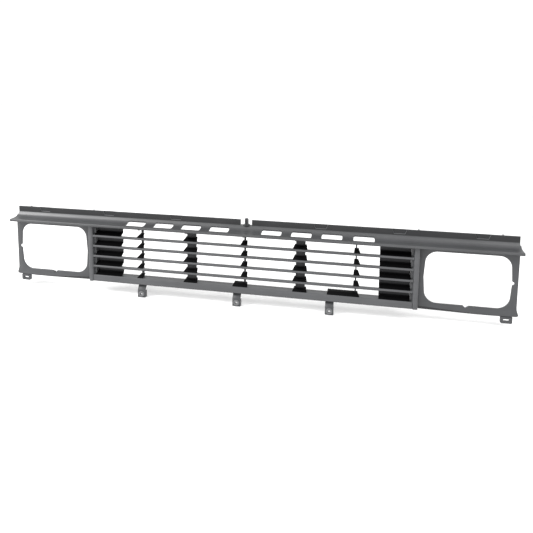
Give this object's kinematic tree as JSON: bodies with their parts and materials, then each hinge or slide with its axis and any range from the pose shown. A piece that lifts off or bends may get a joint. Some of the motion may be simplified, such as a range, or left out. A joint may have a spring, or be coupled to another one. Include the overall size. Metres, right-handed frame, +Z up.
{
  "type": "front grille",
  "caption": "Full-width vehicle front grille with a cove-shaped header, slim horizontal louvres on ribs, and rectangular headlamp surrounds.",
  "frame": {"origin": "centre of the bounding box at the lower edge of the three mounting tabs", "axes": "+X to the right as seen from in front of the vehicle, +Y backwards into the vehicle, +Z up; the face looks along -Y"},
  "size_m": [1.379, 0.055, 0.2363],
  "materials": {
    "header_plastic": "satin moulded black-grey",
    "louvre_plastic": "satin moulded black-grey",
    "bezel_plastic": "satin moulded black-grey",
    "recess_plastic": "matt moulded black",
    "grommet_rubber": "matt rubber"
  },
  "bodies": {
    "root": {"blanking_panel_left": "recess_plastic", "blanking_panel_right": "recess_plastic", "bottom_rail": "louvre_plastic", "end_foot_left": "bezel_plastic", "end_foot_right": "bezel_plastic", "end_post_left": "louvre_plastic", "end_post_right": "louvre_plastic", "header_rail": "header_plastic", "lamp_bezel_left": "bezel_plastic", "lamp_bezel_right": "bezel_plastic", "locating_peg": "header_plastic", "louvre_rib_narrow_centre": "recess_plastic", "louvre_rib_narrow_left": "recess_plastic", "louvre_rib_narrow_right": "recess_plastic", "louvre_rib_wide_left": "recess_plastic", "louvre_rib_wide_right": "recess_plastic", "louvre_slat_1": "louvre_plastic", "louvre_slat_2": "louvre_plastic", "louvre_slat_3": "louvre_plastic", "louvre_slat_4": "louvre_plastic", "lower_tab_centre": "bezel_plastic", "lower_tab_left": "bezel_plastic", "lower_tab_right": "bezel_plastic", "tab_grommet_centre": "grommet_rubber", "tab_grommet_left": "grommet_rubber", "tab_grommet_right": "grommet_rubber"}
  },
  "joints": []
}
